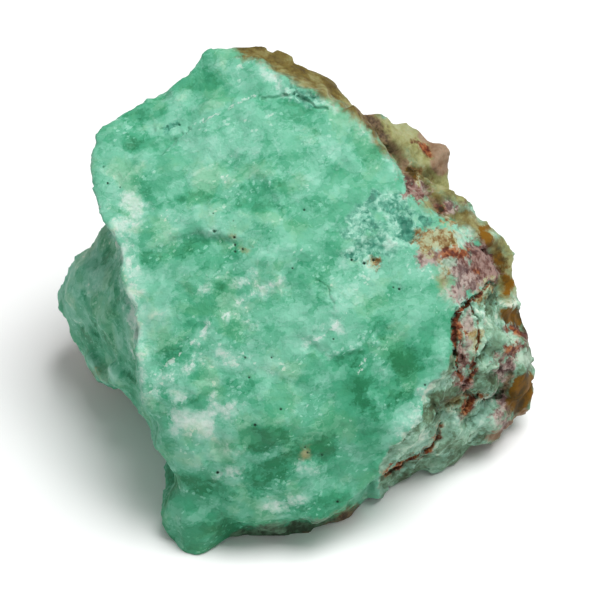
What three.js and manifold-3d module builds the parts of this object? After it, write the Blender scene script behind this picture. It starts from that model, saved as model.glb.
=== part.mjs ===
// A rough, unpolished chunk of chrysoprase: apple-green chalcedony that still
// carries a rind of iron-stained matrix along one side. It formed as one piece,
// so it is one solid: a few fracture-bounded blocks grown together, less the
// chips that have broken away.
//
// Millimetres. Corners are laid out as seen square on to the broad fracture
// face: x runs across the face, y up the face and z out of it. The stone is then
// tipped onto its underside, so that the broad face leans back, and the underside
// is flat where it meets the ground.

import * as THREE from "three";
import { ConvexGeometry } from "three/addons/geometries/ConvexGeometry.js";
import { mergeVertices } from "three/addons/utils/BufferGeometryUtils.js";
import Module from "manifold-3d";

const wasm = await Module();
wasm.setup();

// Driving dimensions
const faceLean = 45; // degrees between the broad face and the ground
const restDepth = 24.4; // from the middle of the layout down to the ground
const groundSize = 200; // side of the block that trims the underside flat

const stoneGreen = 0x6fbc9c;
const stoneRoughness = 0.55;

// The main mass: the rim and swell of the broad face, then its back and base.
const body = [
  [-25, 16.8, 1],
  [-24.6, 13, 2.6],
  [-23.4, 8.8, 5],
  [-23.8, 20, 0],
  [-20.4, 23.2, -1],
  [-12.4, 28.2, -2],
  [-10, 30.2, -2],
  [-6, 30.7, -2.4],
  [-2.6, 29.4, -3],
  [2.6, 27, -2.6],
  [5.6, 24.2, -1.4],
  [-3, 27.4, 1],
  [1.8, 24.2, 2.2],
  [5.8, 22.6, 2.6],
  [10.5, 18, 3],
  [14, 12.4, 4],
  [17.6, 8.4, 4.6],
  [19, 4.8, 4.6],
  [18.6, -7.6, 5],
  [16.2, -13.2, 4],
  [11.4, -19.4, 2.6],
  [8.2, -22.8, 1.4],
  [3, -25.6, 0.8],
  [-7, -26.6, 0.6],
  [-15, -22.8, 1],
  [-16.8, -18.6, 2.6],
  [-17.8, -14, 5],
  [-19.4, -7, 7.6],
  [-4, 5, 8.6],
  [-12, -16.4, 6.4],
  [-5, -14.8, 8],
  [8, -13.6, 6.6],
  [12, -4, 7.2],
  [-22, 14, -10],
  [-18, 22, -9],
  [4, 26.4, -11],
  [-12, 25, -13],
  [12, 19, -17],
  [-4, 14.6, -26],
  [-17, 13, -19],
  [16, 8, -25],
  [-14, 5, -31],
  [4, 1, -36],
  [-15, -5, -30],
  [16, -5, -30],
  [-10, -27, -9],
  [4, -27, -9],
];

// The dark lump that recedes on the left
const flank = [
  [-24.2, 8.4, -8],
  [-26.8, 5.2, -12],
  [-29.2, 2.8, -15],
  [-30.4, -0.8, -17],
  [-29, -3.6, -17],
  [-27.8, -6, -17],
  [-25.8, -9.4, -16],
  [-22.6, -10.8, -14],
  [-27.4, 0.4, -9],
  [-23.6, -6.4, -7],
  [-19, -10, 1],
  [-19.8, 3, 2.6],
  [-21.4, 12.6, -4],
  [-21, 13.4, -12],
  [-17, 12, -20],
  [-23, 4, -25],
  [-24, -4, -26],
  [-17, -11, -22],
  [-14, -5, -30],
];

// Its foot, where it runs down beside the toe
const flankFoot = [
  [-23, -8.6, -12],
  [-19.4, -14.2, -9],
  [-17.2, -18.6, -6],
  [-19, -6, 2],
  [-16.2, -18, 1],
  [-23, -7, -20],
  [-16.6, -19, -11],
  [-17.8, -14, -17],
  [-18, -10, -22],
  [-10, -16, -18],
  [-14, -6, -26],
];

// The rind of matrix down the right-hand side
const rind = [
  [8, 21.4, -4],
  [17.4, 14.8, -7],
  [20.8, 11.6, -8],
  [23.4, 9.6, -9],
  [25.4, 7.4, -9.5],
  [26.4, 4.4, -10],
  [26.8, 0, -11],
  [28.6, -5.4, -12],
  [29.9, -9.4, -14],
  [28.6, -13.2, -15],
  [23.8, -17.6, -15],
  [14.2, -22, -12],
  [8.4, -24, -9],
  [10, 17.4, 1.4],
  [18.4, 5, 3.4],
  [17.6, -8, 3.2],
  [11, -19.4, -0.6],
  [23.5, 0.6, -3.5],
  [24.6, -8, -4],
  [17, -17.4, -5],
  [10, 14, -20],
  [20, 4, -24],
  [24, -6, -26],
  [18, -8, -28],
  [4, -12, -26],
];

// The ochre knob at the top of the rind
const knob = [
  [7.4, 23, -3],
  [11.6, 21.4, -7],
  [14.6, 21, -9],
  [18, 18.8, -11],
  [18.2, 16, -11.4],
  [17.4, 13.6, -10],
  [14, 12, -3],
  [7.6, 19, -0.4],
  [12, 17.6, -3.6],
  [6, 22, -14],
  [13, 19.4, -17],
  [18.6, 10.6, -13],
  [18.4, 8, -19],
  [10, 10, -22],
];

// The rounded toe at the front of the underside
const toe = [
  [-16.3, -28.4, -5],
  [-15.2, -30.2, -5],
  [-13.4, -30.8, -4],
  [-10.2, -30, -4.4],
  [-7, -28.2, -5],
  [-16.6, -26.6, -3],
  [-14.8, -22, 0.6],
  [-9, -24, 1],
  [-14, -27, -0.8],
  [-11, -28, -1],
  [-15, -21.6, -5],
  [-15.8, -19, -14],
  [-17, -14, -18],
  [-18, -9, -24],
  [-8, -20, -14],
  [-8, -9, -26],
];

// The dark keel beside the toe, set back under the lip of the face
const keel = [
  [-10, -28.2, -6.2],
  [-3.6, -29.2, -6],
  [3, -28.4, -6],
  [5.6, -27, -7],
  [7.8, -24, -9],
  [4, -22, -3],
  [-8, -24, -3],
  [-8, -22, -14],
  [8, -20, -16],
];

// The sliver gone from the face's left-hand edge, below the white ridge
const edgeChip = [
  [-24, 9.4, 12],
  [-21.2, 6, 12],
  [-20.2, 1, 12],
  [-19.4, -8, 12],
  [-40, -8, 12],
  [-40, 9.4, 12],
  [-23, 9.4, -12],
  [-20, 6, -12],
  [-18.6, 1, -12],
  [-18, -8, -12],
  [-40, -8, -12],
  [-40, 9.4, -12],
];

// Turns corners laid out on the broad face into a closed block, leaned back.
function block(corners) {
  const points = corners.map(([x, y, z]) => new THREE.Vector3(x, y, z));
  const geometry = new ConvexGeometry(points);
  geometry.rotateX(THREE.MathUtils.degToRad(90 - faceLean));
  return solidOf(geometry);
}

// Makes a solid that can be joined and cut, from a closed geometry.
function solidOf(geometry) {
  geometry.deleteAttribute("normal");
  geometry.deleteAttribute("uv");
  const merged = mergeVertices(geometry, 1e-4);
  return new wasm.Manifold(
    new wasm.Mesh({
      numProp: 3,
      vertProperties: merged.attributes.position.array,
      triVerts: new Uint32Array(merged.index.array),
    }),
  );
}

// Puts the origin on the ground, under the middle of the stone.
function standOnOrigin(geometry) {
  geometry.computeBoundingBox();
  const { min, max } = geometry.boundingBox;
  geometry.translate(-(min.x + max.x) / 2, -(min.y + max.y) / 2, -min.z);
}

function buildStone() {
  const ground = new THREE.BoxGeometry(groundSize, groundSize, groundSize);
  ground.translate(0, 0, -restDepth - groundSize / 2);
  const solid = block(body)
    .subtract(block(edgeChip))
    .add(block(flank))
    .add(block(flankFoot))
    .add(block(rind))
    .add(block(knob))
    .add(block(toe))
    .add(block(keel))
    .subtract(solidOf(ground));
  const { vertProperties, triVerts } = solid.getMesh();

  const geometry = new THREE.BufferGeometry();
  geometry.setAttribute("position", new THREE.BufferAttribute(vertProperties, 3));
  geometry.setIndex(new THREE.BufferAttribute(triVerts, 1));
  standOnOrigin(geometry);
  return geometry;
}

const stone = new THREE.Mesh(
  buildStone(),
  new THREE.MeshStandardMaterial({ color: stoneGreen, roughness: stoneRoughness, metalness: 0 }),
);
stone.name = "rough_stone";

const object = new THREE.Group();
object.add(stone);
export default object;
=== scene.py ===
import math
from contextlib import contextmanager

import bmesh
import bpy
import numpy as np
from mathutils import Matrix, Vector, noise


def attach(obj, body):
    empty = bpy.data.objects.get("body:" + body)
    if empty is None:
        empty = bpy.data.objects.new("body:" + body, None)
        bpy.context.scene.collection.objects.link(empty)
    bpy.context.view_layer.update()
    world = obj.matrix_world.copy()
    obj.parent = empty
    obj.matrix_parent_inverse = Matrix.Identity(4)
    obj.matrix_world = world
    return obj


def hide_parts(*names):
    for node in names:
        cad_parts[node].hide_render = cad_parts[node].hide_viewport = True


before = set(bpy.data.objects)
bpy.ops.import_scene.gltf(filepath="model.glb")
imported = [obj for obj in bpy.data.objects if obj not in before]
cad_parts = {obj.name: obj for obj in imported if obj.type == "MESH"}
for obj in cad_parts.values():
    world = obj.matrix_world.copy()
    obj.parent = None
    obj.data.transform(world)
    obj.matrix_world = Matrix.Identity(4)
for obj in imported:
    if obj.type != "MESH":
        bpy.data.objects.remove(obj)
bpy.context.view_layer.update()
print("frame loaded")

# Everything on the stone is placed as seen square on to its broad face, in millimetres:
# x across the face, y up the face, z out of it. The face leans back in the part's own frame.
layout = {
    "lean": math.radians(45),
    "middle": (0.25, -4.74, 24.4),
    "seenFrom": 400,  # how far in front of the face the camera stands
}


def turn(vectors, angle):  # about the x axis
    c, s = math.cos(angle), math.sin(angle)
    x, y, z = vectors.T
    return np.stack([x, y * c + z * s, z * c - y * s], axis=1)


def toLayout(co):
    return turn(co * 1000 - np.array(layout["middle"]), layout["lean"])


def fromLayout(p):
    return (turn(p, -layout["lean"]) + np.array(layout["middle"])) / 1000


def squareOn(p):  # where the camera sees a point against the face
    return np.column_stack([p[:, :2] / (1 - p[:, 2:] / layout["seenFrom"]), p[:, 2]])


def smooth(value, low, high):
    t = np.clip((value - low) / (high - low), 0, 1)
    return t * t * (3 - 2 * t)


# reading, writing and remeshing

def readPoints(mesh):
    co = np.empty(len(mesh.vertices) * 3)
    mesh.vertices.foreach_get("co", co)
    return co.reshape(-1, 3)


def placed(mesh):  # where the points are in the layout, and which way they face
    mesh.update()
    normals = np.empty(len(mesh.vertices) * 3)
    mesh.vertex_normals.foreach_get("vector", normals)
    return toLayout(readPoints(mesh)), turn(normals.reshape(-1, 3), layout["lean"])


def writePoints(mesh, co):
    mesh.vertices.foreach_set("co", co.ravel())
    mesh.update()


@contextmanager
def edited(mesh):
    bm = bmesh.new()
    bm.from_mesh(mesh)
    yield bm
    bm.to_mesh(mesh)
    bm.free()


def bakeModifiers(piece):
    evaluated = piece.evaluated_get(bpy.context.evaluated_depsgraph_get())
    finished = bpy.data.meshes.new_from_object(evaluated)
    piece.modifiers.clear()
    piece.data = finished


def remesh(piece, voxel):
    modifier = piece.modifiers.new("remesh", "REMESH")
    modifier.mode = "VOXEL"
    modifier.voxel_size = voxel / 1000
    bakeModifiers(piece)


def relax(piece, rounds, factor=0.5):
    modifier = piece.modifiers.new("relax", "SMOOTH")
    modifier.iterations = rounds
    modifier.factor = factor
    bakeModifiers(piece)


# noise fields, one value for each point

fields = {
    "seedShift": (3.7, -5.3, 9.1),
    "tiltSpread": 19.3,  # takes neighbouring cells to unlike tilts
    "crumbEdge": 0.45,
    "gain": (1.0, 2.0),  # how the octaves of a cloud shrink
    "wobbleOctaves": 3,
}


def shiftFor(seed):
    return Vector([seed * step for step in fields["seedShift"]])


def cloud(points, size, octaves, seed):
    shift = shiftFor(seed)
    return np.array([noise.fractal(Vector(p) / size + shift, *fields["gain"], octaves) for p in points])


def brokenFacets(points, size, seed):
    shift = shiftFor(seed)
    heights = np.empty(len(points))
    for i, p in enumerate(points):
        q = Vector(p) / size + shift
        centre = noise.voronoi(q)[1][0]
        tilt = noise.cell_vector(centre * fields["tiltSpread"]) * 2 - Vector((1, 1, 1))
        heights[i] = (q - centre).dot(tilt)
    return heights


def crumbs(points, size, seed):
    shift = shiftFor(seed)
    gaps = np.empty(len(points))
    for i, p in enumerate(points):
        near = noise.voronoi(Vector(p) / size + shift)[0]
        gaps[i] = near[1] - near[0]
    return smooth(gaps, 0, fields["crumbEdge"])


def wobble(points, size, amount, seed):
    octaves = fields["wobbleOctaves"]
    shake = np.stack([cloud(points, size, octaves, seed + i) for i in range(3)], axis=1)
    return points + shake * amount


# strokes: a radius, then the points of a line across the face, or through the stone

strokeShape = {
    "outside": -6.0,  # the depth of a point far from every stroke
    "away": 5,  # taken off the depth where the surface faces away
    "facing": -0.05,  # how far round a stroke reaches
    "wrapping": -0.6,  # the same for a colour that carries on round the rim
    "fade": 0.25,
    "stepRise": (-0.2, 0.3),
    "stepEnds": 0.2,  # the share of a step that its end takes to fade out
}


def lineDistance(points, line):
    line = np.array(line, float)
    p = points[:, :line.shape[1]]
    nearest = np.linalg.norm(p - line[0], axis=1)
    for a, b in zip(line[:-1], line[1:]):
        t = np.clip(((p - a) @ (b - a)) / ((b - a) @ (b - a)), 0, 1)
        nearest = np.minimum(nearest, np.linalg.norm(p - a - t[:, None] * (b - a), axis=1))
    return nearest


def zoneDepth(points, facing, strokes, wraps=False):
    deepest = np.full(len(points), strokeShape["outside"])
    limit = strokeShape["wrapping" if wraps else "facing"]
    away = strokeShape["away"] * (1 - smooth(facing, limit, limit + strokeShape["fade"]))
    for radius, *line in strokes:
        inside = radius - lineDistance(points, line)
        if len(line[0]) == 2:  # drawn on the face, so it stays off what faces away
            inside = inside - away
        deepest = np.maximum(deepest, inside)
    return deepest


def stepAlong(points, line, fade):
    line = np.array(line, float)
    p = points[:, :2]
    length = np.linalg.norm(np.diff(line, axis=0), axis=1)
    start = np.concatenate([[0], np.cumsum(length)])
    best = np.full(len(p), np.inf)
    side = np.zeros(len(p))
    along = np.zeros(len(p))
    for i, (a, b) in enumerate(zip(line[:-1], line[1:])):
        t = np.clip(((p - a) @ (b - a)) / length[i] ** 2, 0, 1)
        distance = np.linalg.norm(p - a - t[:, None] * (b - a), axis=1)
        across = (b[0] - a[0]) * (p[:, 1] - a[1]) - (b[1] - a[1]) * (p[:, 0] - a[0])
        closer = distance < best
        best = np.where(closer, distance, best)
        side = np.where(closer, np.sign(across), side)
        along = np.where(closer, (start[i] + t * length[i]) / start[-1], along)
    ends = smooth(along, 0, strokeShape["stepEnds"]) * smooth(1 - along, 0, strokeShape["stepEnds"])
    return smooth(side * best, *strokeShape["stepRise"]) * np.exp(-best / fade) * ends


# the stone

stoneShape = {
    "roughVoxel": 0.45,
    "voxel": 0.35,
    "roundEdges": 3,
    "warp": (9, 0.8, 11),  # size, amount, seed
    "rindStray": (1.8, 0.5, 41),
    "paintStray": (1.2, 0.3, 51),
    "hiddenStray": (8, 3.5, 61),
    "facets": ((8.0, 1.1, 3), (3.0, 0.4, 5)),  # cell size, height, seed
    "rindFacets": ((4.2, 1.0, 15), (2.2, 0.6, 16)),
    "chips": ((1.5, 0.17, 8), (0.8, 0.08, 9)),
    "rindChips": ((1.5, 0.34, 21), (0.75, 0.11, 22)),
    "crumbs": {"size": 0.9, "seed": 23, "level": 0.8, "height": 0.25},
    "grain": {"size": 0.8, "octaves": 3, "seed": 31, "height": 0.06},
    "faceCalm": 0.65,
    "chipCalm": 0.4,
    "skinCalm": (0.8, -0.8, 0.4),  # how much calmer, and from which depth to which
    "glassCalm": (0.9, -0.3, 0.3),
    "calmRind": (0.6, -0.5, 1),
    "calmStrokes": (
        (3.0, (8, -23), (14, -19), (19, -16.4)), (2.0, (21, -15.4), (23, -14.6)),
        (1.6, (27.4, -5.4), (28.4, -8)),
    ),
    "plateDrop": 1.1,
    "plateFade": 3.0,
    "plateEnds": (-0.5, 1.5),  # across the edge of the plate, from where to where
    "dropStarts": (-0.1, 0.6),
    "rindStarts": (-0.2, 0.5),
    "crustEdge": (-0.5, 0.5),
    "refineReach": (0.7, 0.35),  # round each crack and pit, first and second time
    "refinedRind": (-0.5, 8),
    "glassEdge": -0.1,
    "evenRounds": 7,
    "foot": 2,  # the height below which the stone is kept even
    "press": (1.2, 0.8),  # the height below which it is pressed flat, and how much
    "crackEdge": 0.8,
    "pitDepth": 1.6,
    "pitReach": 1.4,
    "calmGrain": (1, 0.3),  # rounds and strength of the last smoothing
    "riseRounds": 12,
    "triangles": 192000,
}

# how squarely the surface faces the front where each effect comes in, from and to
turned = {
    "hidden": (-0.45, -0.1),
    "carved": (0, 0.3),
    "stepped": (0.2, 0.6),
    "face": (0.3, 0.7),
}

# how the rind spreads over the sides turned away
hiddenRind = {"behind": 6, "deepest": 40, "slope": 0.5, "cloud": (10, 4, 62), "swing": 9, "back": 1}

# the right-hand edge of the green stone, past which the rind begins
plateEdge = [
    (-6.7, 32), (-6.4, 30), (-4.7, 29), (-3.3, 27.9), (-2, 26.7), (0, 25.6), (2, 25), (4, 24.2),
    (5.8, 23.2), (6.8, 22.2), (8, 20.8), (9.3, 19.2), (10.6, 18), (11.6, 16.4), (12, 14.8), (13.5, 13),
    (14.8, 11.9), (16, 10.6), (17.4, 10.2), (18.6, 9.6), (20, 8.4), (21.6, 6.8), (23.2, 4.7), (24, 2.8),
    (22.8, 1.8), (20.7, 0), (19.1, -1.2), (18.1, -2.5), (18.2, -6.5), (17.8, -8.3), (16.6, -9.3),
    (15.3, -10.4), (14.6, -12), (14.7, -13.6), (12.4, -16.1), (10.4, -18.2), (9.7, -20.4), (9.4, -22.5),
    (9, -45),
]
plateBack = [(-60, -45), (-60, 32)]  # closes the outline round the left-hand side

# parts of the outline eased out or in: radius, how far and which way, then where
nudges = [
    (7.0, (-1.1, 0.3), (-28.8, 0.5)), (4.0, (-0.8, 0.5), (-27.5, 4.6)), (6.5, (-0.8, 0.3), (-24.6, 17)),
    (4.0, (-0.2, 0.6), (-10, 29.8)), (3.5, (-0.3, 0.3), (-14.6, 26.8)),
    (4.0, (-0.5, -0.6), (16.5, 19.6)), (5.0, (0.6, 0.4), (24.4, 7.4)), (3.5, (0.6, 0.4), (-21, -12.4)),
    (4.2, (1.3, 0.2), (-17.8, -21.6)), (3.0, (0.8, 0.2), (-18.8, -15)),
    (3.5, (0.3, -0.7), (18.8, -19.6)), (3.5, (0.6, -0.4), (26.6, -14)),
    (3.0, (0.3, -0.6), (10.6, -22.8)), (2.5, (-0.3, -0.5), (11.8, 21.3)),
    (2.5, (-0.3, 0.6), (-12.4, 29)), (4.0, (-0.2, -0.6), (-13, -30)), (4.0, (0.4, -0.8), (24.4, -16)),
    (4.2, (-1.7, 0), (30.4, -7.7)), (2.4, (-0.8, -0.4), (17.4, 15.4)),
]

# grooves, ridges and dents: radius, height, then the line
carvings = [
    (1.7, -0.9, (12.7, 15.6), (14, 13.8)),
    (1.1, -1.1, (7, 23), (9.4, 20.6), (12, 17.6), (14.4, 14.6)),
    (1.2, -0.9, (15.1, 15.3), (15.8, 13.4), (17, 11.3)),
    (1.3, -1.3, (19.4, 10), (21.6, 7.6), (23.5, 5.2), (24.6, 2.8), (25.2, 0.2)),
    (1.4, 0.6, (11, 20.6), (14.6, 17.6), (17.2, 14), (20.8, 10.9)),
    (1.2, 0.6, (22.4, 9.4), (24.6, 7.2), (25.7, 4.2), (26.2, 0)),
    (2.0, 0.5, (14.6, 20), (17, 17.4)),
    (1.6, 0.8, (24.6, -0.2), (26, -0.4)),
    (1.8, -0.7, (25.6, -2), (27, -3.4)),
    (1.6, 0.7, (24.8, -4.8), (25.6, -5.6)),
    (1.6, 0.6, (26.6, -7)),
    (1.2, -0.8, (24, -9), (24.2, -12)),
    (2.6, 0.5, (22.2, -4), (22.4, -8.6)),
    (2.2, 0.6, (21.8, -13.4), (22.8, -14.6)),
    (2.2, 0.5, (18.6, -14.2), (19.2, -16)),
    (0.9, -0.8, (20, -17.6), (17.8, -18.3), (16, -19.4), (13.6, -20), (11, -21.4)),
    (1.5, -1.5, (-16.8, 25, -2), (-16.8, 25, 2)),
    (1.3, 0.4, (-21.7, 6.4), (-20.7, 0.5), (-20.2, -3), (-19, -7.9), (-18.2, -13.4)),
    (1.2, 0.5, (21.3, -1.2)),
    (1.5, 0.6, (18.3, -9.8)),
    (1.4, 0.5, (25, -0.6)),
    (1.6, 0.5, (24.4, -10.4)),
    (1.4, 0.5, (24, -5.6), (26, -5)),
    (1.6, 0.5, (17.6, -15.6), (19.6, -16.8)),
    (0.8, -0.5, (24.6, -7.8), (24.2, -9), (22.6, -11.8)),
    (2.0, -0.5, (22.6, -6.4)),
    (1.0, -0.5, (12.4, 9.6), (12.8, 7.4)),
    (0.8, -0.4, (11, 11)),
    (0.7, -0.4, (8.8, 9.4)),
]

# open seams in the rind: radius, height, radius of the stain, then the line
seams = [
    (0.4, -1.0, 0.24, (22.8, 2), (21.6, 0.6), (20.2, -0.4)),
    (0.5, -1.2, 0.3, (20.2, -0.4), (19, -1.4), (18.5, -2.6)),
    (0.35, -0.8, 0.22, (18.5, -2.6), (18.5, -4.6), (18.7, -6.5)),
    (0.28, -0.6, 0.16, (18.7, -6.5), (18.8, -8.5)),
    (0.3, -0.7, 0.16, (20.6, -0.9), (20.8, -1.8), (21.4, -2.3)),
    (0.22, -0.5, 0.1, (21.4, -2.3), (21.5, -4.9), (21.1, -7)),
]
lowSeam = [(16.8, -14.8), (16.5, -16.6), (15.5, -18), (13.7, -18.9), (11.4, -20), (10.4, -20.9)]

# narrow cracks, cut after the mesh has been made finer round them: radius, height, then the line
cracks = [
    (0.2, -0.18, (-16.9, 20.5), (-15.9, 20.7)), (0.24, -0.25, (-15.9, 20.7), (-14.6, 21.1)),
    (0.2, -0.25, (-15.6, 18.9), (-14.6, 19.6), (-13.3, 20.6)),
    (0.2, -0.1, (2.3, 2.3), (3.2, 1.4), (3.7, 0.2), (4.0, -0.6)),
    (0.3, -0.35, (-4.8, 24.2), (-2.8, 24.3), (-0.8, 24.8)),
    (0.35, -0.4, (-0.2, 24.4), (0.9, 23.8), (1.7, 23), (3.3, 22.9)),
] + [(radius, tall, *line) for radius, tall, stain, *line in seams] + [
    (0.2, -0.4, (21.1, -7), (20.6, -8.8), (19.9, -10.4)),
    (0.35, -0.7, (19.9, -11.1), (22.5, -11.8), (24, -11.4)), (0.4, -0.8, (20.6, -11.6), (19.8, -13.4)),
    (0.3, -0.5, (19.2, -12.2), (17.6, -12.7)), (0.3, -0.7, *lowSeam),
]

# small pits: radius, then where
pits = [
    (0.17, (-10.3, 8.2)), (0.09, (-10.4, 10.4)), (0.09, (-8, 9.5)), (0.15, (-7.9, 7.5)),
    (0.14, (-7.8, 6.6)), (0.14, (-7.8, 5.8)), (0.14, (-6.9, 6.1)), (0.15, (0.5, 10.8)),
    (0.11, (-0.9, 3.8)), (0.11, (11.2, 1.5)), (0.14, (11.9, 1.3)), (0.11, (4, -4.7)),
    (0.11, (-6.6, -6.9)), (0.11, (-3.4, -6.9)), (0.14, (-6.1, -9.3)), (0.15, (-2.3, -13.1)),
    (0.11, (15, -10.2)), (0.15, (-5.4, -15)), (0.15, (-9.9, -20.7)), (0.11, (2.6, -18.6)),
    (0.15, (4.5, -24.2)), (0.11, (-23.6, 16)), (0.14, (-23.1, 14)), (0.11, (-21.6, 13.5)),
    (0.15, (8.8, 4.8)), (0.14, (7.7, 4.4)), (0.15, (6.2, 4.8)), (0.12, (0.6, -17.7)),
    (0.1, (0.9, -18.3)),
]

# broken steps: how far one side drops, how far the drop fades over, then the line
steps = [
    (-0.8, 4.0, (-19.4, 15.8), (-16.6, 17.9), (-13.3, 20.6), (-11.2, 21.6), (-8.7, 22.8), (-6.2, 24),
    (-3.7, 25.3)),
    (-0.8, 3.5, (-5, 6.4), (-8, 7.6), (-11.5, 7.9), (-14, 8), (-16, 7.2), (-18.8, 5.4)),
    (-0.5, 2.5, (4.4, -1.2), (3.8, -0.2), (3.1, 1.2), (2.2, 2.4)),
    (-0.5, 2.5, (-11, -1.4), (-12.6, -3), (-13.6, -4.8), (-15.2, -6.4), (-17, -7.3), (-19, -7.4)),
    (-0.4, 2.5, (1, -10.2), (-1, -9.7), (-3.9, -8.4), (-6, -8)),
]

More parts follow.
